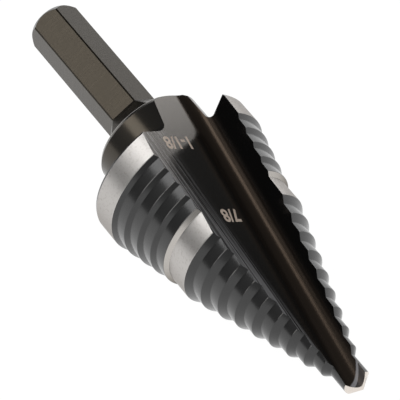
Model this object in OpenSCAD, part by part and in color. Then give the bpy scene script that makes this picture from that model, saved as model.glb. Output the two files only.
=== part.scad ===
// Two-flute step drill, turned and ground from one bar, lying on its side as it comes to rest.
// It is built standing on its tip, with Z along its axis, and laid down at the end.

/* [Cut sizes] */
// Largest hole it cuts, at the rear band
rear_band_d = 28.575; // [25.5:0.025:32]
// Marked size in the middle, at the front band
front_band_d = 22.225; // [18:0.025:24.5]
// Smallest hole it cuts, at the pilot
pilot_d = 4.5; // [4:0.05:5.5]

/* [Steps] */
// Length of the pilot, from the tip to the first chamfer
pilot_len = 5; // [3.5:0.05:8]
// Steps between the pilot and the front band
front_steps = 8; // [4:1:12]
// Length of each of those steps at its full diameter
front_step_len = 2; // [1.5:0.05:3]
// Length of the front band
front_band_len = 3.9; // [2:0.05:6]
// Steps between the two bands
rear_steps = 4; // [2:1:6]
// Length of each of those steps at its full diameter
rear_step_len = 1.925; // [1.5:0.025:3]
// Length of the rear band
rear_band_len = 4; // [2:0.05:6]
// Length of the slope behind the rear band
band_slope_len = 0.5; // [0.3:0.05:1]
// Fall of radius over that slope
band_slope_fall = 0.2; // [0.1:0.05:0.4]
// Angle between the axis and the chamfer that leads into each step
chamfer_angle = 45; // [35:1:60]

/* [Relief behind the cutting edges] */
// How far the lands are turned off the axis at the tip
tip_relief = 0.1; // [0.05:0.01:0.2]
// How far the lands are turned off the axis at the rear band
band_relief = 0.7; // [0.3:0.01:1]

/* [Point] */
// Included angle of the point
point_angle = 118; // [110:1:135]
// Angle by which each flank of the point falls away behind its lip
lip_relief = 8; // [4:1:12]

/* [Flutes] */
// Hook of the cutting face, measured from the radius
hook_angle = 20; // [10:1:25]
// Lean of the long wall behind the next land
heel_angle = 6.25; // [3:0.25:10]
// Radius at the bottom of the flute
valley_r = 2.2; // [2.1:0.05:2.6]
// Flute bottom at the tip, past the axis along the cutting edge
valley_tip_x = -0.71; // [-0.75:0.01:-0.5]
// Flute bottom at the tip, behind the cutting edge
valley_tip_y = 0.58; // [0.4:0.01:0.65]
// Flute bottom at the foot of the collar, along the cutting edge
valley_back_x = 7.3; // [7:0.05:8.2]
// Flute bottom at the foot of the collar, behind the cutting edge
valley_back_y = 2.6; // [2.3:0.05:2.9]

/* [Collar and shank] */
// Diameter of the collar behind the rear band
collar_d = 18; // [16:0.1:20]
// Length of the collar
collar_len = 6.4; // [4:0.05:10]
// Radius of the hollow round between the rear band and the collar
collar_root_r = 1.5; // [1:0.1:2]
// Length of the chamfer around the back of the collar
collar_chamfer_len = 0.6; // [0.3:0.05:1]
// Fall of radius over that chamfer
collar_chamfer_fall = 0.4; // [0.2:0.05:0.6]
// Angle between the axis and the turned shoulder behind the collar
shoulder_angle = 65; // [58:1:75]
// Hexagon of the shank, across its flats
hex_af = 7.9375; // [6.35:0.0125:9.5]
// Length of the flats
flat_len = 22.95; // [18:0.05:30]
// Length of the six ramps between the collar and the flats
ramp_len = 4.05; // [3:0.05:6]
// Gap between the foot of the ramps and the chamfer of the collar
ramp_inset = 0.4; // [0.2:0.05:0.8]
// Turn of the hexagon's corners from the cutting edge
hex_turn = 22; // [0:1:60]
// Diameter of the flat end of the shank
shank_end_d = 7.6; // [5.6:0.05:7.8]
// Length of the chamfer around that end
shank_chamfer_len = 1; // [0.5:0.05:1.5]

/* [Hidden] */
$fn = 96;
MARGIN = 5;
// How far the round bottom of a flute stands past its walls, so that they cross it cleanly
OVERLAP = 0.0005;
// How far the hollow round at the collar dips below the faces that it joins, for the same reason
ROOT_DIP = 0.02;

// Growth of radius from one step to the next
front_rise = (front_band_d - pilot_d) / 2 / (front_steps + 1);
rear_rise = (rear_band_d - front_band_d) / 2 / (rear_steps + 1);
front_chamfer_len = front_rise / tan(chamfer_angle);
rear_chamfer_len = rear_rise / tan(chamfer_angle);
front_pitch = front_step_len + front_chamfer_len;
rear_pitch = rear_step_len + rear_chamfer_len;

// Heights above the tip
front_band_z = pilot_len + front_steps * front_pitch + front_chamfer_len;
rear_first_z = front_band_z + front_band_len + rear_chamfer_len;
rear_band_z = rear_first_z + rear_steps * rear_pitch;
rear_band_end = rear_band_z + rear_band_len;
collar_start = rear_band_end + band_slope_len;
collar_end = collar_start + collar_len;
flats_start = collar_end + ramp_len;
drill_len = flats_start + flat_len;

// Each full diameter as [radius, height of its front edge, height of its rear edge]
front_rims = [for (k = [1:front_steps])
    let (z = pilot_len + front_chamfer_len + (k - 1) * front_pitch)
    [pilot_d / 2 + k * front_rise, z, z + front_step_len]];
rear_rims = [for (k = [1:rear_steps])
    let (z = rear_first_z + (k - 1) * rear_pitch)
    [front_band_d / 2 + k * rear_rise, z, z + rear_step_len]];
rims = concat([[pilot_d / 2, -MARGIN, pilot_len]], front_rims,
    [[front_band_d / 2, front_band_z, front_band_z + front_band_len]], rear_rims,
    [[rear_band_d / 2, rear_band_z, rear_band_end]]);

// The lands are turned on a line that leaves the drill's axis towards the back
land_tilt = atan((band_relief - tip_relief) / rear_band_z);

function unit(v) = v / norm(v);
function turned(p) = [-p[0], -p[1], p[2]];
function on_land(r, z) = [
    (r - tip_relief) * cos(land_tilt) - z * sin(land_tilt),
    (r - tip_relief) * sin(land_tilt) + z * cos(land_tilt)];

// Direction of the flute's bottom, and its lean away from the axis
valley_rise = [valley_back_x - valley_tip_x, valley_back_y - valley_tip_y, collar_start];
valley_lean = atan(norm([valley_rise[0], valley_rise[1]]) / collar_start);
lean_axis = unit([-valley_rise[1], valley_rise[0], 0]);
function leant(v) = v * cos(valley_lean) + cross(lean_axis, v) * sin(valley_lean)
    + lean_axis * (lean_axis * v) * (1 - cos(valley_lean));

// Walls of the flute, as directions in its own section and as planes of the drill
rake_dir = [cos(hook_angle), -sin(hook_angle), 0];
heel_dir = [-sin(heel_angle), -cos(heel_angle), 0];
rake_normal = leant([sin(hook_angle), cos(hook_angle), 0]);
heel_normal = leant([-cos(heel_angle), sin(heel_angle), 0]);
valley_tip = [valley_tip_x, valley_tip_y, 0];

// Corner of a land's front edge on a wall, found on the circle that the land was turned to
function land_corner(rim, normal, foot, side) =
    let (
        c = on_land(rim[0], rim[1]),
        a = normal[0] * cos(land_tilt) - normal[2] * sin(land_tilt),
        b = normal[1],
        far = normal * foot - normal[0] * (tip_relief + c[1] * sin(land_tilt))
            - normal[2] * c[1] * cos(land_tilt),
        turn = atan2(b, a) + side * acos(far / c[0] / norm([a, b])))
    [tip_relief + c[0] * cos(turn) * cos(land_tilt) + c[1] * sin(land_tilt),
     c[0] * sin(turn),
     c[1] * cos(land_tilt) - c[0] * cos(turn) * sin(land_tilt)];

// The two corners beside the lower flute, on every front edge behind the pilot
edge_corners = [for (k = [1:len(rims) - 1])
    turned(land_corner(rims[k], rake_normal, valley_tip, -1))];
heel_corners = [for (k = [1:len(rims) - 1])
    land_corner(rims[k], turned(heel_normal), turned(valley_tip), 1)];

// It rests on both corners of the rear band and on the first corner that meets the floor before them
rest_a = edge_corners[len(edge_corners) - 1];
rest_b = heel_corners[len(heel_corners) - 1];
rest_line = unit(rest_b - rest_a);
rest_out = unit(cross(rest_line, [0, 0, 1])) * sign(cross(rest_line, [0, 0, 1]) * rest_a);
rest_back = unit([0, 0, 1] - rest_line * rest_line[2]);
rest_tilt = min([for (k = [0:len(rims) - 3], p = [edge_corners[k], heel_corners[k]])
    atan2((rest_a - p) * rest_out, (rest_a - p) * rest_back)]);
down = rest_out * cos(rest_tilt) - rest_back * sin(rest_tilt);
lie_turn = atan2(down[1], down[0]);
lie_tilt = asin(-down[2]);
lie_height = rest_a * down;
lie_middle = (drill_len * cos(lie_tilt) + shank_end_d / 2 * sin(lie_tilt)) / 2;

// Lands: the stepped form turned about its own line, for one half of the drill
module land() {
    rim_points = [for (rim = rims, z = [rim[1], rim[2]]) on_land(rim[0], z)];
    // The slope behind the rear band runs on past the plane that it is cut off at
    last = on_land(rear_band_d / 2 - 2 * band_slope_fall, rear_band_end + 2 * band_slope_len);
    translate([tip_relief, 0, 0])
        rotate([0, land_tilt, 0])
            rotate_extrude()
                polygon(concat([[0, rim_points[0][1]]], rim_points, [last, [0, last[1]]]));
}

// One half of the space in front of the collar
module half_space() {
    reach = rear_band_d;
    inside_flute = (heel_angle - 90) / 2;
    rotate([0, 0, inside_flute])
        translate([-reach, 0, -2 * MARGIN])
            cube([2 * reach, reach, collar_start + 2 * MARGIN]);
}

module lands() {
    for (turn = [0, 180])
        rotate([0, 0, turn])
            intersection() {
                land();
                half_space();
            }
}

// Point: two cones tilted apart, so that each flank falls away behind its lip
module point_cones() {
    reach = 2 * drill_len;
    intersection_for (tilt = [lip_relief, -lip_relief])
        rotate([tilt, 0, 0])
            cylinder(h = reach, r1 = 0, r2 = reach * tan(point_angle / 2));
}

// Flute: a wedge with a round bottom, drawn along the leaning bottom line
module flute() {
    half_angle = (90 + heel_angle - hook_angle) / 2;
    middle = (rake_dir + heel_dir) / norm(rake_dir + heel_dir);
    touch = valley_r / tan(half_angle);
    centre = middle * valley_r / sin(half_angle);
    reach = 2 * rear_band_d;
    reach_down = 3 * MARGIN;
    translate(valley_tip)
        rotate(a = valley_lean, v = lean_axis)
            translate([0, 0, -reach_down])
                linear_extrude(height = reach_down + flats_start / cos(valley_lean))
                    union() {
                        polygon([for (p = [rake_dir * touch, rake_dir * reach,
                            middle * reach * 1.5, heel_dir * reach, heel_dir * touch, centre])
                            [p[0], p[1]]]);
                        translate([centre[0], centre[1]])
                            circle(r = valley_r + OVERLAP);
                    }
}

// Collar, with a hollow round in front of it and the turned shoulder behind it
module collar() {
    collar_r = collar_d / 2;
    back_r = collar_r - collar_chamfer_fall;
    shoulder_len = (back_r - hex_af / 2) / tan(shoulder_angle);
    inside_band = collar_start - rear_band_len / 2;
    root_centre = [collar_r + collar_root_r - ROOT_DIP, collar_start + collar_root_r - ROOT_DIP];
    rotate_extrude()
        union() {
            polygon([[0, inside_band], [collar_r, inside_band],
                [collar_r, collar_end - collar_chamfer_len], [back_r, collar_end],
                [hex_af / 2, collar_end + shoulder_len], [0, collar_end + shoulder_len]]);
            difference() {
                translate([0, inside_band])
                    square([root_centre[0], root_centre[1] - inside_band]);
                translate(root_centre)
                    circle(r = collar_root_r);
            }
        }
}

// Shank: three pairs of flats, each pair widening in ramps down to the collar
module flat_pair() {
    foot = (collar_d / 2 - collar_chamfer_fall - ramp_inset) * cos(30);
    reach = collar_d;
    rotate([90, 0, 0])
        linear_extrude(height = reach, center = true)
            polygon([[-foot, collar_end], [foot, collar_end], [hex_af / 2, flats_start],
                [hex_af / 2, drill_len], [-hex_af / 2, drill_len], [-hex_af / 2, flats_start]]);
}

module hexagon() {
    intersection_for (turn = [30, 90, 150])
        rotate([0, 0, hex_turn + turn])
            flat_pair();
}

module shank() {
    corner_d = hex_af / cos(30);
    chamfer_start = drill_len - shank_chamfer_len;
    intersection() {
        hexagon();
        union() {
            translate([0, 0, collar_end - collar_len / 2])
                cylinder(h = chamfer_start - collar_end + collar_len / 2, d = collar_d);
            translate([0, 0, chamfer_start])
                cylinder(h = shank_chamfer_len, d1 = corner_d, d2 = shank_end_d);
        }
    }
}

module upright() {
    difference() {
        intersection() {
            union() {
                lands();
                collar();
                shank();
            }
            point_cones();
        }
        for (turn = [0, 180])
            rotate([0, 0, turn])
                flute();
    }
}

module step_drill() {
    color("#3a3a3a")
        translate([-lie_middle, 0, lie_height])
            rotate([0, 90 - lie_tilt, 0])
                rotate([0, 0, -lie_turn])
                    upright();
}

step_drill();
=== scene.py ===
"""Looks of a step drill: ground from one bar and blacked, with its two size bands and its point left bright.

Every size is in millimetres, measured on the drill standing on its tip with Z along its axis. The last step
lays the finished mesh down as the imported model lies, in metres.
"""
import math

import bmesh
import bpy
from mathutils import Euler, Matrix, Vector


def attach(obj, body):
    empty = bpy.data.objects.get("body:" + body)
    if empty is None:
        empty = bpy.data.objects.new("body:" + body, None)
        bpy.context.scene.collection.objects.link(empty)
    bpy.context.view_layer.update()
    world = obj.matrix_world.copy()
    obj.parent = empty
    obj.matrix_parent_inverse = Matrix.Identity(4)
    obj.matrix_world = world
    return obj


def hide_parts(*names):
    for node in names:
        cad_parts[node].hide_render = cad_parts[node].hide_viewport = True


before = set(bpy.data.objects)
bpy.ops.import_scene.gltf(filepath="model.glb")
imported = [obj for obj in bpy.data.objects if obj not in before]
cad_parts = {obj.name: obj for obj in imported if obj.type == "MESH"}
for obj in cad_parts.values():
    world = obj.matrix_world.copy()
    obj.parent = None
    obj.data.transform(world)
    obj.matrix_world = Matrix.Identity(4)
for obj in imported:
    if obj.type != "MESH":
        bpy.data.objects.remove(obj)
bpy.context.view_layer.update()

# Sizes of the drill
REAR_BAND_D, FRONT_BAND_D, PILOT_D = 28.575, 22.225, 4.5
PILOT_LEN, FRONT_STEPS, FRONT_STEP_LEN, FRONT_BAND_LEN = 5.0, 8, 2.0, 3.9
REAR_STEPS, REAR_STEP_LEN, REAR_BAND_LEN, CHAMFER_ANGLE = 4, 1.925, 4.0, 45
BAND_SLOPE_LEN, BAND_SLOPE_FALL = 0.5, 0.2
TIP_RELIEF, BAND_RELIEF = 0.1, 0.7
POINT_ANGLE, LIP_RELIEF = 118, 8
HOOK_ANGLE, HEEL_ANGLE, VALLEY_R = 20, 6.25, 2.2
VALLEY_TIP, VALLEY_BACK = Vector((-0.71, 0.58, 0)), Vector((7.3, 2.6, 0))
COLLAR_D, COLLAR_LEN, COLLAR_ROOT_R, SHOULDER_ANGLE = 18.0, 6.4, 1.5, 65
COLLAR_CHAMFER_LEN, COLLAR_CHAMFER_FALL = 0.6, 0.4
HEX_AF, FLAT_LEN, RAMP_LEN, RAMP_INSET, HEX_TURN = 7.9375, 22.95, 4.05, 0.4, 22
SHANK_END_D, SHANK_CHAMFER_LEN = 7.6, 1.0

# Small forms that only the looks have: the round at the front of each step, and how far each flat of the
# hexagon ends before its corner
EDGE_ROUND, HEX_EDGE = 0.12, 0.17

# Heights and rises that follow from the sizes
FRONT_RISE = (FRONT_BAND_D - PILOT_D) / 2 / (FRONT_STEPS + 1)
REAR_RISE = (REAR_BAND_D - FRONT_BAND_D) / 2 / (REAR_STEPS + 1)
FRONT_CHAMFER = FRONT_RISE / math.tan(math.radians(CHAMFER_ANGLE))
REAR_CHAMFER = REAR_RISE / math.tan(math.radians(CHAMFER_ANGLE))
FRONT_BAND_Z = PILOT_LEN + FRONT_STEPS * (FRONT_STEP_LEN + FRONT_CHAMFER) + FRONT_CHAMFER
REAR_BAND_Z = FRONT_BAND_Z + FRONT_BAND_LEN + REAR_CHAMFER + REAR_STEPS * (REAR_STEP_LEN + REAR_CHAMFER)
REAR_BAND_END = REAR_BAND_Z + REAR_BAND_LEN
COLLAR_START = REAR_BAND_END + BAND_SLOPE_LEN
COLLAR_END = COLLAR_START + COLLAR_LEN
FLATS_START = COLLAR_END + RAMP_LEN
DRILL_LEN = FLATS_START + FLAT_LEN

# The rims count from the pilot, 0, over the steps and the front band to the rear band. The map of the steps
# adds to a rim's number how far along it a place is: the shares of its three front points and of its end
FRONT_BAND_RIM = FRONT_STEPS + 1
RIMS = FRONT_STEPS + REAR_STEPS + 3
RIM_SHARES = (0.3, 0.35, 0.4, 0.9)

# Rows of points: one on the axis, those of each rim, a tail, and one on the axis
RIM_ROWS = len(RIM_SHARES)
ROWS = RIM_ROWS * RIMS + 3

# How the drill lies: turned about its axis, tipped down towards its tip, and resting on three corners
LIE_TURN, LIE_TILT, LIE_HEIGHT = math.radians(141.955), math.radians(8.89134), 4.41947
LIE_MIDDLE = (DRILL_LEN * math.cos(LIE_TILT) + SHANK_END_D / 2 * math.sin(LIE_TILT)) / 2
LIE_DOWN = math.pi / 2 - LIE_TILT
LAID = (
    Matrix.Scale(0.001, 4)
    @ Matrix.Translation((-LIE_MIDDLE, 0, LIE_HEIGHT))
    @ Matrix.Rotation(LIE_DOWN, 4, "Y")
    @ Matrix.Rotation(-LIE_TURN, 4, "Z")
)

# Working values of the modelling: the reach of a cutter, what it runs past a face, and the overlaps of what
# is joined; then segments of rounds, and the sharpest turn that is still shaded smooth
REACH, MARGIN, ROOT_DIP, HALF_OVERLAP = 60.0, 5.0, 0.02, 0.3
ROUND_SEGMENTS, VALLEY_SEGMENTS, ROOT_SEGMENTS = 240, 24, 10
SMOOTH_LIMIT = math.radians(9)

# Points that are closer than this merge
MERGE, LANDS_MERGE, LETTERS_MERGE = 1e-6, 1e-5, 1e-4

# The hole sizes on the long wall: text, distance out from the flute's bottom line, and distance along it
MARKS = {"size_mark_rear": ("1-1/8", 8.1, 47.1), "size_mark_front": ("7/8", 6.0, 33.1)}
MARK_SIZE, MARK_WIDTH, MARK_BOLD, MARK_DEPTH = 3.25, 0.86, 0.09, 0.012

# How black oxide tints what it mirrors where it's seen square on
NEUTRAL, OXIDE_HALF_WARM, OXIDE_WARM, OXIDE_BROWN = "#ffffff", "#fff5ea", "#ffeed4", "#ffe0c4"

# Counts per millimetre of the lines that a lathe leaves, coarser than real ones so that they show
TURNED_LINES = (0.15, 0.15, 7.0)

# Points from the axis into the first flute
FIRST_FLUTE_SIDE = (0.53, -0.85, 0.0)

# The small grind at the point, in a flute's own frame: the direction across it, the span over which its facet
# ends and a painted highlight along its edge starts, the span over which that highlight ends, the span over
# which it runs out on the long wall, and how bright its facet is
GASH_ACROSS = (-1.59, 0.39, 1.0)
GASH_FACET_TO_HIGHLIGHT, GASH_HIGHLIGHT_END, GASH_RUN_OUT = (-0.5, -0.35), (0.2, 0.45), (-2.2, -1.7)
GASH_FACET_SHARE = 0.18

# The studio, in metres and in shares of white. Each lamp panel has its azimuth and elevation in degrees,
# its width and height, and the brightness that a mirror would show
SOFTBOX_DISTANCE, FLOOR_REACH = 0.9, 3.0
SOFTBOXES = {
    "softbox_over": (50, 53, 0.31, 0.31, 2.9),
    "softbox_right": (-53.0, 9, 0.34, 0.34, 1.2),
    "softbox_right_edge": (-68.2, 9, 0.11, 0.34, 2.7),
    "softbox_behind": (-135, 48, 0.5, 0.4, 2.0),
    "lamp_past_shank": (36, 28, 0.25, 0.25, 14.0),
}
ROOM_BRIGHT_SIDE, ROOM_DARK_END, ROOM_DARK, ROOM_BRIGHT = (-0.87, 0.5, 0.0), -0.8, 0.03, 0.4
PAPER_GLOW_SHARE, PAPER_IN_GLOSS, PAPER_SEEN = 0.92, 1.22, 1.07

# The photographer's camera
LENS, SENSOR, CLIP = 240.5745, 36.0, (0.01, 10)
CAMERA_AIM = Vector((-0.000351, 0.000147, 0.010485))
CAMERA_DISTANCE, CAMERA_AZIMUTH, CAMERA_ELEVATION, CAMERA_ROLL = 0.406805, 147.0432, 45.7207, -2.8765

# Kinds of node that are used often
MATH, VECTOR_MATH, RANGE = "ShaderNodeMath", "ShaderNodeVectorMath", "ShaderNodeMapRange"
SWITCH, JOIN_PARTS, PARTS = "GeometryNodeSwitch", "ShaderNodeCombineXYZ", "ShaderNodeSeparateXYZ"


def linear(code, alpha=1.0):
    """Linear colour of an sRGB hex code."""
    parts = [int(code[k : k + 2], 16) / 255 for k in (1, 3, 5)]
    return tuple(c / 12.92 if c <= 0.04045 else ((c + 0.055) / 1.055) ** 2.4 for c in parts) + (alpha,)


def direction(azimuth, elevation):
    """Unit vector towards an azimuth and an elevation in degrees."""
    around, up = math.radians(azimuth), math.radians(elevation)
    return Vector((math.cos(up) * math.cos(around), math.cos(up) * math.sin(around), math.sin(up)))


def flute_frame():
    """The first flute's frame: X off its long wall, Y in from the heel, and Z up along its bottom line."""
    rise = VALLEY_BACK - VALLEY_TIP + Vector((0, 0, COLLAR_START))
    lean = Vector((0, 0, 1)).rotation_difference(rise).to_matrix().to_4x4()
    return Matrix.Translation(VALLEY_TIP) @ lean @ Matrix.Rotation(-math.radians(HEEL_ANGLE), 4, "Z")


def connect(tree, item, inputs):
    """Gives a node its inputs, by name or in order: values, sockets, or nodes with their first output."""
    for place, value in inputs.items() if isinstance(inputs, dict) else enumerate(inputs):
        if isinstance(value, bpy.types.Node):
            value = value.outputs[0]
        if isinstance(value, bpy.types.NodeSocket):
            tree.links.new(value, item.inputs[place])
        else:
            item.inputs[place].default_value = value


def add(tree, kind, inputs=(), **settings):
    """Adds a node with its settings and inputs."""
    item = tree.nodes.new(kind)
    for name, value in settings.items():
        setattr(item, name, value)
    connect(tree, item, inputs)
    return item


def placed(name, data):
    """A new object in the scene."""
    item = bpy.data.objects.new(name, data)
    bpy.context.scene.collection.objects.link(item)
    return item


# Materials

def surface(name, colour, roughness, metallic=0.0, ior=1.5, tint=NEUTRAL):
    """A material with its tree, its shader and the drill's own upright coordinates in millimetres."""
    material = bpy.data.materials.new(name)
    material.use_nodes = True
    tree = material.node_tree
    shader = tree.nodes["Principled BSDF"]
    connect(tree, shader, {
        "Base Color": linear(colour), "Roughness": roughness, "Metallic": metallic, "IOR": ior,
        "Specular Tint": linear(tint)})
    stand = Euler((0, -LIE_DOWN, LIE_TURN))
    upright = add(tree, "ShaderNodeMapping", {
        "Vector": add(tree, "ShaderNodeTexCoord").outputs["Object"],
        "Location": stand.to_matrix() @ Vector((LIE_MIDDLE, 0, -LIE_HEIGHT)),
        "Rotation": stand, "Scale": (1000, 1000, 1000)})
    return material, tree, shader, upright


def grain(tree, source, counts, detail=3.0):
    """Noise with these counts per millimetre along the axes: stretched, it gives the lines of a wheel."""
    stretched = add(tree, "ShaderNodeMapping", {"Vector": source, "Scale": counts})
    noise = add(tree, "ShaderNodeTexNoise", {
        "Vector": stretched, "Scale": 1.0, "Detail": detail, "Roughness": 0.6})
    return noise.outputs["Fac"]


def soft(tree, value, span, start=0, end=1):
    """A share that goes softly from its start to its end over a span of a value."""
    return add(tree, RANGE, (value, *span, start, end), interpolation_type="SMOOTHSTEP")


def window(tree, value, rise, fall):
    """A share that rises softly over one span of a value and falls over another."""
    return soft(tree, value, fall, start=soft(tree, value, rise), end=0)


def lighter(tree, shader, share, other):
    """Turns the shader's colour into another one where a share is 1."""
    own = tuple(shader.inputs["Base Color"].default_value)
    blend = add(tree, "ShaderNodeMix", {"Factor": share, "A": own, "B": linear(other)}, data_type="RGBA")
    connect(tree, shader, {"Base Color": blend.outputs["Result"]})


def lined(tree, shader, pattern, height):
    """Gives the shader a relief with its height in millimetres."""
    bump = add(tree, "ShaderNodeBump", {"Height": pattern, "Distance": height / 1000, "Strength": 1.0})
    connect(tree, shader, {"Normal": bump})


def in_flute(tree, upright):
    """Places in the frame of the flute that they are nearest to."""
    across = add(tree, VECTOR_MATH, (upright, FIRST_FLUTE_SIDE), operation="DOT_PRODUCT")
    side = add(tree, MATH, (across.outputs["Value"],), operation="SIGN")
    turned_back = add(tree, JOIN_PARTS, (side, side, 1))
    as_first = add(tree, VECTOR_MATH, (upright, turned_back), operation="MULTIPLY")
    to_flute = flute_frame().inverted()
    return add(tree, "ShaderNodeMapping", {
        "Vector": as_first, "Location": to_flute.to_translation(), "Rotation": to_flute.to_euler()})


def black_oxide_turned():
    """Black oxide over turned steel: near black with a soft sheen; painted highlights on the rims by the
    heel.
    """
    material, tree, shader, upright = surface("black_oxide_turned", "#1e1e1e", 0.2, ior=1.58)
    lined(tree, shader, grain(tree, upright, TURNED_LINES), 0.004)
    around, along, _ = add(tree, PARTS, (add(tree, "ShaderNodeUVMap", uv_map="StepMap"),)).outputs
    rim = add(tree, MATH, (along,), operation="FRACT")
    front, _, back, _ = RIM_SHARES
    on_rim = window(tree, rim, (front - 0.02, front + 0.02), (back, back + 0.01))
    # Painted highlight: light grey in patches on the round at each rim's front, on the heel's side of the
    # turn
    quarter_turn, highlight_patches = (0.23, 0.27), (0.32, 0.46)
    by_heel = soft(tree, around, quarter_turn, end=on_rim)
    painted_rim_highlight = soft(tree, grain(tree, upright, (0.4, 0.4, 0.9)), highlight_patches, end=by_heel)
    lighter(tree, shader, painted_rim_highlight, "#8a8886")
    return material


def black_oxide_collar():
    """Black oxide over turned steel: warm where it mirrors a lamp, with a painted highlight along the back
    edge.
    """
    material, tree, shader, upright = surface(
        "black_oxide_collar", "#202020", 0.2, ior=1.55, tint=OXIDE_WARM)
    lined(tree, shader, grain(tree, upright, TURNED_LINES), 0.004)
    height = add(tree, PARTS, (upright,)).outputs["Z"]
    # Painted highlight: a thin light grey line along the chamfer at the collar's back edge
    highlight_start, highlight_end = (COLLAR_END - 0.2, COLLAR_END - 0.14), (COLLAR_END, COLLAR_END + 0.05)
    lighter(tree, shader, window(tree, height, highlight_start, highlight_end), "#979593")
    return material


def black_oxide_flute():
    """Black oxide over a ground wall: glossy, with fine lines that run down it and show grey by the heel.

    The lines are drawn about three times as coarse as a wheel leaves them, so that they show.
    """
    material, tree, shader, upright = surface(
        "black_oxide_flute", "#171717", 0.18, ior=1.8, tint=OXIDE_HALF_WARM)
    lean_to_heel, heel_share, line_noise = math.radians(-8), (0.6, 0.85), (0.44, 0.58)
    heelward = add(tree, "ShaderNodeMapping", {
        "Vector": in_flute(tree, upright), "Rotation": (lean_to_heel, 0, 0)})
    lines = grain(tree, heelward, (0.02, 3.4, 0.03))
    lined(tree, shader, lines, 0.0025)
    x, y, z = add(tree, PARTS, (upright,)).outputs
    radius = add(tree, VECTOR_MATH, (add(tree, JOIN_PARTS, (x, y)),), operation="LENGTH")
    land_r = add(tree, RANGE, (z, 0, REAR_BAND_Z, PILOT_D / 2, REAR_BAND_D / 2))
    share_out = add(tree, MATH, (radius.outputs["Value"], land_r), operation="DIVIDE")
    by_heel = soft(tree, share_out, heel_share)
    lighter(tree, shader, soft(tree, lines, line_noise, end=by_heel), "#8a8a8c")
    return material


def black_oxide_flute_bottom():
    """Black oxide over a ground hollow: satin and brown where it mirrors a lamp.

    By the point, the small grind that thins the web shows as a grey facet, with a painted highlight along its
    edge.
    """
    material, tree, shader, upright = surface(
        "black_oxide_flute_bottom", "#1a1715", 0.27, ior=1.55, tint=OXIDE_BROWN)
    places = in_flute(tree, upright)
    across = add(tree, VECTOR_MATH, (places, GASH_ACROSS), operation="DOT_PRODUCT").outputs["Value"]
    # Painted highlight: a light line along the grind's edge; the grey facet behind it is bare ground steel
    edge = window(tree, across, GASH_FACET_TO_HIGHLIGHT, GASH_HIGHLIGHT_END)
    facet = soft(tree, across, GASH_FACET_TO_HIGHLIGHT, start=GASH_FACET_SHARE, end=0)
    facet_and_highlight = add(tree, MATH, (edge, facet), operation="MAXIMUM")
    inward = add(tree, PARTS, (places,)).outputs["Y"]
    lighter(tree, shader, soft(tree, inward, GASH_RUN_OUT, end=facet_and_highlight), "#96969a")
    return material


def black_oxide_cutting_face():
    """Black oxide over the ground cutting face: plain, and the darkest: it mirrors the room's dark side, and
    has painted shade.
    """
    # Painted shade: a darker colour and a lower IOR than the long wall's black oxide
    return surface("black_oxide_cutting_face", "#0a0a0a", 0.2, ior=1.45)[0]


def black_oxide_hexagon():
    """Black oxide over steel that is milled across: satin, brown grey, with fine lines across each flat."""
    material, tree, shader, upright = surface(
        "black_oxide_hexagon", "#0b0a09", 0.27, ior=1.5, tint=OXIDE_WARM)
    cuts, brown_noise = grain(tree, upright, (0.25, 0.25, 4.0)), (0.35, 0.65)
    lined(tree, shader, cuts, 0.014)
    lighter(tree, shader, soft(tree, cuts, brown_noise), "#221f1a")
    return material


def ground_steel_band():
    """Tool steel left bright by the wheel that brings a band to its size: lined, with small dull spots."""
    material, tree, shader, upright = surface(
        "ground_steel_band", "#a8a4a0", 0.34, metallic=1.0, tint="#c8c6c4")
    lined(tree, shader, grain(tree, upright, (0.4, 0.4, 9.0)), 0.004)
    spots, clean_noise = grain(tree, upright, (3.0, 3.0, 3.0), detail=5.0), (0.3, 0.5)
    lighter(tree, shader, soft(tree, spots, clean_noise), "#b9b6b3")
    return material


def worn_oxide_slope():
    """The slope behind the front band, where the oxide is half gone: duller than the band."""
    return surface("worn_oxide_slope", "#b2aea9", 0.26, metallic=1.0, tint="#9a9896")[0]


def ground_steel_point():
    """Tool steel left bright by the last grind of the point, with an even fine grain."""
    material, tree, shader, upright = surface("ground_steel_point", "#d6cec6", 0.26, metallic=1.0)
    lined(tree, shader, grain(tree, upright, (4.0, 4.0, 4.0)), 0.003)
    return material


def laser_marked_steel():
    """Steel whose oxide a laser burnt off: dull and tan."""
    return surface("laser_marked_steel", "#ead8c8", 0.5)[0]


turned_finish = black_oxide_turned()
collar_finish = black_oxide_collar()
flute_finish = black_oxide_flute()
bottom_finish = black_oxide_flute_bottom()
cutting_finish = black_oxide_cutting_face()
hexagon_finish = black_oxide_hexagon()
band_finish = ground_steel_band()
slope_finish = worn_oxide_slope()
point_finish = ground_steel_point()
mark_finish = laser_marked_steel()


# Shapes that are turned, milled or ground

def closed(mesh, distance):
    """Merges a mesh's points that lie together, and turns its faces outward."""
    shape = bmesh.new()
    shape.from_mesh(mesh)
    bmesh.ops.remove_doubles(shape, verts=shape.verts, dist=distance)
    bmesh.ops.recalc_face_normals(shape, faces=shape.faces)
    shape.to_mesh(mesh)
    shape.free()


def solid(name, points, faces, materials, face_materials=None):
    """A closed mesh object in upright millimetres."""
    mesh = bpy.data.meshes.new(name)
    mesh.from_pydata([tuple(p) for p in points], [], faces)
    for material in materials:
        mesh.materials.append(material)
    if face_materials:
        mesh.polygons.foreach_set("material_index", face_materials)
    closed(mesh, MERGE)
    return placed(name, mesh)


def turned(name, profile, material):
    """A solid turned from a profile of [radius, height] that starts and ends on the axis."""
    points, faces = [], []
    for radius, height in profile:
        for k in range(ROUND_SEGMENTS):
            angle = 2 * math.pi * k / ROUND_SEGMENTS
            points.append((radius * math.cos(angle), radius * math.sin(angle), height))
    for row in range(len(profile) - 1):
        for k in range(ROUND_SEGMENTS):
            a, b = row * ROUND_SEGMENTS + k, row * ROUND_SEGMENTS + (k + 1) % ROUND_SEGMENTS
            faces.append((a, b, b + ROUND_SEGMENTS, a + ROUND_SEGMENTS))
    return solid(name, points, faces, [material])


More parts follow.
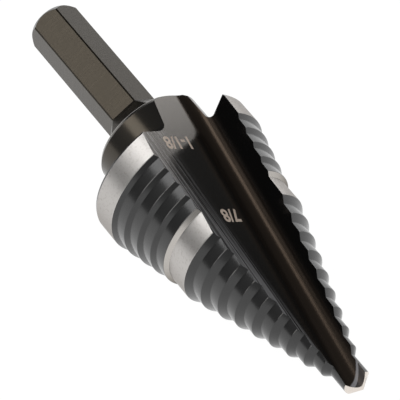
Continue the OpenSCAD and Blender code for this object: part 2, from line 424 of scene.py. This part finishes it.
def prism(name, rings, materials, face_materials=None):
    """A solid through rings that have the same number of points, closed by a face at each end."""
    count = len(rings[0])
    points = [p for ring in rings for p in ring]
    faces = []
    for row in range(len(rings) - 1):
        for k in range(count):
            a, b = row * count + k, row * count + (k + 1) % count
            faces.append((a, b, b + count, a + count))
    last = (len(rings) - 1) * count
    faces += [tuple(range(count))[::-1], tuple(range(last, last + count))]
    return solid(name, points, faces, materials, face_materials)


def bake(piece):
    """Turns the piece's modifiers into plain mesh."""
    ready = piece.evaluated_get(bpy.context.evaluated_depsgraph_get())
    mesh = bpy.data.meshes.new_from_object(ready)
    piece.modifiers.clear()
    old = piece.data
    piece.data = mesh
    bpy.data.meshes.remove(old)


def combine(base, other, operation):
    """Cuts or joins base with other, which is used up."""
    step = base.modifiers.new(operation.lower(), "BOOLEAN")
    step.object = other
    step.operation = operation
    step.solver = "EXACT"
    step.material_mode = "TRANSFER"
    bake(base)
    bpy.data.objects.remove(other)


def rim_sizes(tree, given, rim):
    """Radius of each rim, the height of its front corner, and its length at its full diameter.

    Rims are told apart by values half way between their whole numbers.
    """
    front = add(tree, MATH, (rim, FRONT_BAND_RIM), operation="MINIMUM")
    past = add(tree, MATH, (rim, FRONT_BAND_RIM), operation="SUBTRACT")
    rear = add(tree, MATH, (past, 0), operation="MAXIMUM")
    radius = add(tree, MATH, (front, given["Front Rise"], given["Pilot Radius"]), operation="MULTIPLY_ADD")
    radius = add(tree, MATH, (rear, given["Rear Rise"], radius), operation="MULTIPLY_ADD")

    front_pitch = add(tree, MATH, (given["Front Step Length"], given["Front Chamfer"]), operation="ADD")
    rear_pitch = add(tree, MATH, (given["Rear Step Length"], given["Rear Chamfer"]), operation="ADD")
    first = add(tree, MATH, (given["Pilot Length"], given["Front Step Length"]), operation="SUBTRACT")
    height = add(tree, MATH, (front, front_pitch, first), operation="MULTIPLY_ADD")
    height = add(tree, MATH, (rear, rear_pitch, height), operation="MULTIPLY_ADD")
    longer = add(tree, MATH, (given["Front Band Length"], given["Rear Step Length"]), operation="SUBTRACT")
    past_band = add(tree, MATH, (rear, 1), operation="MINIMUM")
    height = add(tree, MATH, (past_band, longer, height), operation="MULTIPLY_ADD")

    is_pilot = add(tree, MATH, (rim, 0.5), operation="LESS_THAN")
    is_rear = add(tree, MATH, (rear, 0.5), operation="GREATER_THAN")
    is_front_band = add(tree, MATH, (rim, FRONT_BAND_RIM, 0.5), operation="COMPARE")
    is_rear_band = add(tree, MATH, (rim, RIMS - 1.5), operation="GREATER_THAN")
    pilot = add(tree, MATH, (given["Pilot Length"], MARGIN), operation="ADD")
    length = given["Front Step Length"]
    for which, own in (
        (is_rear, given["Rear Step Length"]), (is_front_band, given["Front Band Length"]),
        (is_rear_band, given["Rear Band Length"]), (is_pilot, pilot),
    ):
        length = add(tree, SWITCH, {"Switch": which, "False": length, "True": own}, input_type="FLOAT")
    height = add(tree, SWITCH, {"Switch": is_pilot, "False": height, "True": -MARGIN}, input_type="FLOAT")
    return radius, height, length


def rim_point(tree, corner, values):
    """Picks one of four values by a point's place along its rim."""
    item = add(tree, "GeometryNodeIndexSwitch", data_type="FLOAT")
    for _ in values[2:]:
        item.index_switch_items.new()
    connect(tree, item, {"Index": corner, **{k + 1: value for k, value in enumerate(values)}})
    return item


def land_profile(tree, given, row):
    """Radius and height of each row of points, which rows lie on the axis, and the place along the rims.

    The first row lies on the axis. Each rim has three points around its front corner, which is a little
    rounded, and one at its end. A tail behind the rear band and a last row on the axis close the form.
    """
    step = add(tree, MATH, (row, 1), operation="SUBTRACT")
    corner = add(tree, MATH, (step, RIM_ROWS), operation="MODULO")
    rim = add(tree, MATH, (add(tree, MATH, (step, RIM_ROWS), operation="DIVIDE"),), operation="FLOOR")
    rim = add(tree, MATH, (rim, 0), operation="MAXIMUM")
    along = add(tree, MATH, (rim, rim_point(tree, corner, RIM_SHARES)), operation="ADD")
    rim = add(tree, MATH, (rim, RIMS - 1), operation="MINIMUM")
    radius, height, length = rim_sizes(tree, given, rim)

    # The round's first point, its middle and its last, measured from the sharp corner in rounds' radii
    slope = math.radians(CHAMFER_ANGLE)
    reach, inset = math.tan(slope / 2), 1 - math.cos(slope / 2)
    first_r, first_z, middle_r, middle_z, last_z = [
        add(tree, MATH, (given["Edge Round"], share), operation="MULTIPLY")
        for share in (
            -reach * math.sin(slope), -reach * math.cos(slope), -inset, reach - math.sin(slope / 2), reach)
    ]
    corner_r = rim_point(tree, corner, (first_r, middle_r, 0.0, 0.0))
    corner_z = rim_point(tree, corner, (first_z, middle_z, last_z, length))
    radius = add(tree, MATH, (radius, corner_r), operation="ADD")
    height = add(tree, MATH, (height, corner_z), operation="ADD")

    is_first = add(tree, MATH, (row, 0.5), operation="LESS_THAN")
    is_tail = add(tree, MATH, (row, ROWS - 2.5), operation="GREATER_THAN")
    is_last = add(tree, MATH, (row, ROWS - 1.5), operation="GREATER_THAN")
    radius = add(tree, SWITCH, {
        "Switch": is_tail, "False": radius, "True": given["Tail Radius"]}, input_type="FLOAT")
    height = add(tree, SWITCH, {
        "Switch": is_tail, "False": height, "True": given["Tail Height"]}, input_type="FLOAT")
    height = add(tree, SWITCH, {"Switch": is_first, "False": height, "True": -MARGIN}, input_type="FLOAT")
    on_axis = add(tree, MATH, (is_first, is_last), operation="MAXIMUM")
    return radius, height, on_axis, along


def turned_lands(tree, given):
    """The stepped form, turned about a line that leans away from the drill's axis, with its map of steps."""
    columns = ROUND_SEGMENTS + 1
    grid = add(tree, "GeometryNodeMeshGrid", {"Vertices X": ROWS, "Vertices Y": columns})
    index = add(tree, "GeometryNodeInputIndex")
    row = add(tree, MATH, (add(tree, MATH, (index, columns), operation="DIVIDE"),), operation="FLOOR")
    column = add(tree, MATH, (index, columns), operation="MODULO")
    radius, height, on_axis, along = land_profile(tree, given, row)

    # Exact at the cutting edge, where the leaning line lies off the axis by the relief
    inset = add(tree, MATH, (radius, given["Tip Relief"]), operation="SUBTRACT")
    lean_cos = add(tree, MATH, (given["Land Tilt"],), operation="COSINE")
    lean_sin = add(tree, MATH, (given["Land Tilt"],), operation="SINE")
    out = add(tree, MATH, (inset, lean_cos), operation="MULTIPLY")
    back = add(tree, MATH, (height, lean_sin), operation="MULTIPLY")
    own_r = add(tree, MATH, (out, back), operation="SUBTRACT")
    up = add(tree, MATH, (inset, lean_sin), operation="MULTIPLY")
    own_z = add(tree, MATH, (height, lean_cos, up), operation="MULTIPLY_ADD")
    off_axis = add(tree, MATH, (1, on_axis), operation="SUBTRACT")
    own_r = add(tree, MATH, (own_r, off_axis), operation="MULTIPLY")
    angle = add(tree, MATH, (column, 2 * math.pi / ROUND_SEGMENTS), operation="MULTIPLY")
    place = add(tree, JOIN_PARTS, (
        add(tree, MATH, (own_r, add(tree, MATH, (angle,), operation="COSINE")), operation="MULTIPLY"),
        add(tree, MATH, (own_r, add(tree, MATH, (angle,), operation="SINE")), operation="MULTIPLY"), own_z))
    shaped = add(tree, "GeometryNodeSetPosition", {"Geometry": grid, "Position": place})

    # The map of the steps: the share of a turn, and the place along the rims
    around = add(tree, MATH, (column, ROUND_SEGMENTS), operation="DIVIDE")
    on_points = add(tree, "GeometryNodeFieldOnDomain", {
        "Value": add(tree, JOIN_PARTS, (around, along))}, data_type="FLOAT_VECTOR", domain="POINT")
    mapped = add(tree, "GeometryNodeStoreNamedAttribute", {
        "Geometry": shaped, "Name": "StepMap", "Value": on_points}, data_type="FLOAT2", domain="CORNER")
    whole = add(tree, "GeometryNodeMergeByDistance", {"Geometry": mapped, "Distance": LANDS_MERGE})
    return add(tree, "GeometryNodeTransform", {
        "Geometry": whole, "Translation": (TIP_RELIEF, 0, 0),
        "Rotation": add(tree, JOIN_PARTS, {"Y": given["Land Tilt"]})})


def both_halves(tree, lands):
    """Keeps one land of the turned form, and adds its copy on the other side of the axis.

    The cut between them lies inside the flutes, where they overlap a little.
    """
    inside_flute = math.radians((HEEL_ANGLE - 90) / 2)
    out = Vector((0, REACH / 2 - HALF_OVERLAP, COLLAR_START - 2 * REACH))
    half = add(tree, "GeometryNodeMeshCube", {"Size": (2 * REACH, REACH, 4 * REACH)})
    half = add(tree, "GeometryNodeTransform", {
        "Geometry": half, "Translation": Matrix.Rotation(inside_flute, 3, "Z") @ out,
        "Rotation": (0, 0, inside_flute)})
    one = add(tree, "GeometryNodeMeshBoolean", operation="INTERSECT", solver="EXACT")
    other = add(tree, "GeometryNodeTransform", {"Geometry": one, "Rotation": (0, 0, math.pi)})
    both = add(tree, "GeometryNodeMeshBoolean", operation="UNION", solver="EXACT")
    for joined, parts in ((one, (lands, half)), (both, (one, other))):
        for part in parts:
            tree.links.new(part.outputs[0], joined.inputs["Mesh 2"])
    return both


def with_finishes(tree, lands):
    """Blackens the lands, and leaves bright metal where the bands and the slope behind the front one are."""
    real = add(tree, "GeometryNodeRealizeInstances", {"Geometry": lands})
    finished = add(tree, "GeometryNodeSetMaterial", {"Geometry": real, "Material": turned_finish})
    step_map = add(tree, "GeometryNodeInputNamedAttribute", {"Name": "StepMap"}, data_type="FLOAT_VECTOR")
    along = add(tree, PARTS, (step_map,)).outputs["Y"]
    front, end = RIM_SHARES[0], RIM_SHARES[-1]
    for rim, start, stop, finish in (
        (FRONT_BAND_RIM, front, end, band_finish), (RIMS - 1, front, end, band_finish),
        (FRONT_BAND_RIM, end, 1 + front, slope_finish),
    ):
        after = add(tree, MATH, (along, rim + start), operation="GREATER_THAN")
        before = add(tree, MATH, (along, rim + stop), operation="LESS_THAN")
        inside = add(tree, MATH, (after, before), operation="MULTIPLY")
        finished = add(tree, "GeometryNodeSetMaterial", {
            "Geometry": finished, "Material": finish, "Selection": inside})
    return finished


def stepped_lands_tree():
    """Geometry Nodes: the stepped form in two halves, with its finishes."""
    tree = bpy.data.node_groups.new("stepped_lands", "GeometryNodeTree")
    tree.interface.new_socket("Geometry", in_out="OUTPUT", socket_type="NodeSocketGeometry")
    sizes = {
        "Pilot Radius": PILOT_D / 2, "Pilot Length": PILOT_LEN, "Front Rise": FRONT_RISE,
        "Front Chamfer": FRONT_CHAMFER, "Front Step Length": FRONT_STEP_LEN,
        "Front Band Length": FRONT_BAND_LEN, "Rear Rise": REAR_RISE, "Rear Chamfer": REAR_CHAMFER,
        "Rear Step Length": REAR_STEP_LEN, "Rear Band Length": REAR_BAND_LEN, "Edge Round": EDGE_ROUND,
        "Tip Relief": TIP_RELIEF, "Land Tilt": math.atan((BAND_RELIEF - TIP_RELIEF) / REAR_BAND_Z),
        "Tail Radius": REAR_BAND_D / 2 - 2 * BAND_SLOPE_FALL,
        "Tail Height": REAR_BAND_END + 2 * BAND_SLOPE_LEN,
    }
    for name, size in sizes.items():
        socket = tree.interface.new_socket(name, in_out="INPUT", socket_type="NodeSocketFloat")
        socket.default_value = size
    lands = turned_lands(tree, add(tree, "NodeGroupInput").outputs)
    add(tree, "NodeGroupOutput", (with_finishes(tree, both_halves(tree, lands)),))
    return tree


def stepped_lands():
    """The pilot, the steps and the bands, still without flutes."""
    piece = placed("step_drill_body", bpy.data.meshes.new("step_drill_body"))
    piece.modifiers.new("stepped_lands", "NODES").node_group = stepped_lands_tree()
    bake(piece)
    return piece


def flute():
    """The wheel's path: a wedge with a round bottom, leaning away from the axis towards the back."""
    opening = math.radians(90 + HEEL_ANGLE - HOOK_ANGLE)
    wall = Vector((0, -1, 0))
    rake, middle = (Matrix.Rotation(turn, 3, "Z") @ wall for turn in (opening, opening / 2))
    touch = VALLEY_R / math.tan(opening / 2)
    centre = middle * VALLEY_R / math.sin(opening / 2)
    start, end = rake * touch - centre, wall * touch - centre
    turn = start.xy.angle_signed(end.xy) / VALLEY_SEGMENTS
    arc = [centre + Matrix.Rotation(-turn * k, 3, "Z") @ start for k in range(VALLEY_SEGMENTS + 1)]
    outline = [rake * REACH] + arc + [wall * REACH, middle * REACH * 1.5]
    own = flute_frame()
    rings = [
        [own @ (p + Vector((0, 0, z))) for p in outline]
        for z in (-3 * MARGIN, FLATS_START / own[2][2])
    ]
    # One face along the cutting face, those of the round bottom, then the long wall and the outer faces
    places = [0] + [1] * VALLEY_SEGMENTS + [2] * (len(outline) + 1 - VALLEY_SEGMENTS)
    return prism("flute", rings, [cutting_finish, bottom_finish, flute_finish], places)


def point_cone(tilt):
    """One flank of the point, tilted so that it falls away behind its lip."""
    reach = 2 * DRILL_LEN
    wide = reach * math.tan(math.radians(POINT_ANGLE / 2))
    piece = turned("point_cone", [(0, 0), (wide, reach), (0, reach)], point_finish)
    piece.data.transform(Matrix.Rotation(math.radians(tilt), 4, "X"))
    return piece


def collar():
    """The collar with its hollow round at the front, its chamfer at the back, and the turned shoulder."""
    back_r = COLLAR_D / 2 - COLLAR_CHAMFER_FALL
    shoulder_end = COLLAR_END + (back_r - HEX_AF / 2) / math.tan(math.radians(SHOULDER_ANGLE))
    start = REAR_BAND_END - REAR_BAND_LEN / 2
    root_r, root_z = COLLAR_D / 2 + COLLAR_ROOT_R - ROOT_DIP, COLLAR_START + COLLAR_ROOT_R - ROOT_DIP
    sweep = math.acos(ROOT_DIP / COLLAR_ROOT_R - 1) - math.pi / 2
    arc = [math.pi / 2 + sweep * k / ROOT_SEGMENTS for k in range(ROOT_SEGMENTS + 1)]
    root = [(root_r + COLLAR_ROOT_R * math.cos(a), root_z - COLLAR_ROOT_R * math.sin(a)) for a in arc]
    return turned("collar", [(0, start), (root_r, start)] + root + [
        (COLLAR_D / 2, COLLAR_END - COLLAR_CHAMFER_LEN), (back_r, COLLAR_END), (HEX_AF / 2, shoulder_end),
        (0, shoulder_end)], collar_finish)


def shank():
    """Six flats with broken edges that widen in ramps down to the collar, and a turned chamfer at the end."""
    corner_r = HEX_AF / 2 / math.cos(math.radians(30))
    foot_r = COLLAR_D / 2 - COLLAR_CHAMFER_FALL - RAMP_INSET
    turns = [Matrix.Rotation(math.radians(HEX_TURN + 60 * k), 3, "Z") for k in range(6)]
    edges = [HEX_EDGE * Vector((math.cos(a), math.sin(a), 0)) for a in (math.pi / 3, -math.pi / 3)]
    rings = [
        [turn @ (Vector((r, 0, z)) - edge) for turn in turns for edge in edges]
        for r, z in ((foot_r, COLLAR_END), (corner_r, FLATS_START), (corner_r, DRILL_LEN))
    ]
    piece = prism("shank", rings, [hexagon_finish])
    start, chamfer_start = COLLAR_END - MARGIN, DRILL_LEN - SHANK_CHAMFER_LEN
    end = turned("shank_end", [
        (0, start), (COLLAR_D, start), (COLLAR_D, chamfer_start), (corner_r, chamfer_start),
        (SHANK_END_D / 2, DRILL_LEN), (0, DRILL_LEN)], turned_finish)
    combine(piece, end, "INTERSECT")
    return piece


def drill_body():
    """The whole drill in one piece, crisp where the metal turns sharply and smooth elsewhere."""
    body = stepped_lands()
    combine(body, collar(), "UNION")
    combine(body, shank(), "UNION")
    for tilt in (LIP_RELIEF, -LIP_RELIEF):
        combine(body, point_cone(tilt), "INTERSECT")
    for turn in (0, math.pi):
        cutter = flute()
        cutter.data.transform(Matrix.Rotation(turn, 4, "Z"))
        combine(body, cutter, "DIFFERENCE")
    shape = bmesh.new()
    shape.from_mesh(body.data)
    for face in shape.faces:
        face.smooth = True
    for edge in shape.edges:
        edge.smooth = len(edge.link_faces) == 2 and edge.calc_face_angle(0.0) < SMOOTH_LIMIT
    shape.to_mesh(body.data)
    shape.free()
    body.data.transform(LAID)
    return body


def size_mark(name, text, out, along):
    """A generic hole size: a thin layer that lies in the long wall and reads from the shank's side."""
    letters = bpy.data.curves.new(name, "FONT")
    letters.body, letters.size, letters.extrude, letters.offset = text, MARK_SIZE, MARK_DEPTH, MARK_BOLD
    letters.align_x = letters.align_y = "CENTER"
    written = placed(name, letters)
    mesh = bpy.data.meshes.new_from_object(written.evaluated_get(bpy.context.evaluated_depsgraph_get()))
    bpy.data.objects.remove(written)
    closed(mesh, LETTERS_MERGE)
    reading = Matrix(((0, 0, 1), (-1, 0, 0), (0, -1, 0))).to_4x4()
    place = flute_frame() @ Matrix.Translation((0, -out, along)) @ reading
    mesh.transform(LAID @ place @ Matrix.Scale(MARK_WIDTH, 4, (1, 0, 0)))
    mesh.materials.clear()
    mesh.materials.append(mark_finish)
    return placed(name, mesh)


body = drill_body()
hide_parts("step_drill")
for piece in [body] + [size_mark(name, *words) for name, words in MARKS.items()]:
    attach(piece, "root")


# Floor, light and camera

def paper_floor():
    """White paper that the camera and glossy metal see as nearly even white, with a faint soft shadow."""
    mesh = bpy.data.meshes.new("floor")
    corners = [(x * FLOOR_REACH, y * FLOOR_REACH, 0) for x, y in ((-1, -1), (1, -1), (1, 1), (-1, 1))]
    mesh.from_pydata(corners, [], [(0, 1, 2, 3)])
    paper = bpy.data.materials.new("white_paper")
    paper.use_nodes = True
    tree = paper.node_tree
    shader = tree.nodes["Principled BSDF"]
    connect(tree, shader, {"Base Color": linear("#f2f2f2"), "Roughness": 0.9})
    path = add(tree, "ShaderNodeLightPath").outputs
    seen = add(tree, MATH, (path["Is Camera Ray"], path["Is Glossy Ray"]), operation="MAXIMUM")
    share = add(tree, MATH, (seen, PAPER_GLOW_SHARE), operation="MULTIPLY")
    strength = add(tree, RANGE, (path["Is Camera Ray"], 0, 1, PAPER_IN_GLOSS, PAPER_SEEN))
    glow = add(tree, "ShaderNodeEmission", {"Strength": strength})
    mix = add(tree, "ShaderNodeMixShader", (share, shader, glow))
    connect(tree, tree.nodes["Material Output"], {"Surface": mix})
    mesh.materials.append(paper)
    placed("floor", mesh)


def studio_room():
    """A dim room, a little brighter behind the photographer. The camera sees it white."""
    world = bpy.data.worlds.new("studio")
    bpy.context.scene.world = world
    world.use_nodes = True
    tree = world.node_tree
    way = add(tree, "ShaderNodeTexCoord").outputs["Generated"]
    toward = add(tree, VECTOR_MATH, (way, ROOM_BRIGHT_SIDE), operation="DOT_PRODUCT")
    room = add(tree, RANGE, (toward.outputs["Value"], ROOM_DARK_END, 1, ROOM_DARK, ROOM_BRIGHT))
    path = add(tree, "ShaderNodeLightPath").outputs
    strength = add(tree, MATH, (room, path["Is Camera Ray"]), operation="MAXIMUM")
    connect(tree, tree.nodes["Background"], {"Color": linear("#ffffff"), "Strength": strength})


def softbox(name, azimuth, elevation, width, height, glow):
    """A lamp panel that faces the drill."""
    out = direction(azimuth, elevation)
    light = bpy.data.lights.new(name, "AREA")
    light.shape = "RECTANGLE"
    light.size, light.size_y = width, height
    light.energy = glow * math.pi * width * height
    item = placed(name, light)
    item.location = out * SOFTBOX_DISTANCE
    item.rotation_euler = out.to_track_quat("Z", "Y").to_euler()


def photo_camera():
    """The camera that the photo's outline gave."""
    back = direction(CAMERA_AZIMUTH, CAMERA_ELEVATION)
    lens = bpy.data.cameras.new("camera")
    lens.lens, lens.sensor_width = LENS, SENSOR
    lens.clip_start, lens.clip_end = CLIP
    camera = placed("camera", lens)
    level = back.to_track_quat("Z", "Y").to_matrix()
    camera.rotation_euler = (level @ Matrix.Rotation(math.radians(CAMERA_ROLL), 3, "Z")).to_euler()
    camera.location = CAMERA_AIM + back * CAMERA_DISTANCE
    bpy.context.scene.camera = camera


paper_floor()
studio_room()
for name, values in SOFTBOXES.items():
    softbox(name, *values)
photo_camera()
bpy.context.scene.view_settings.view_transform = "Standard"
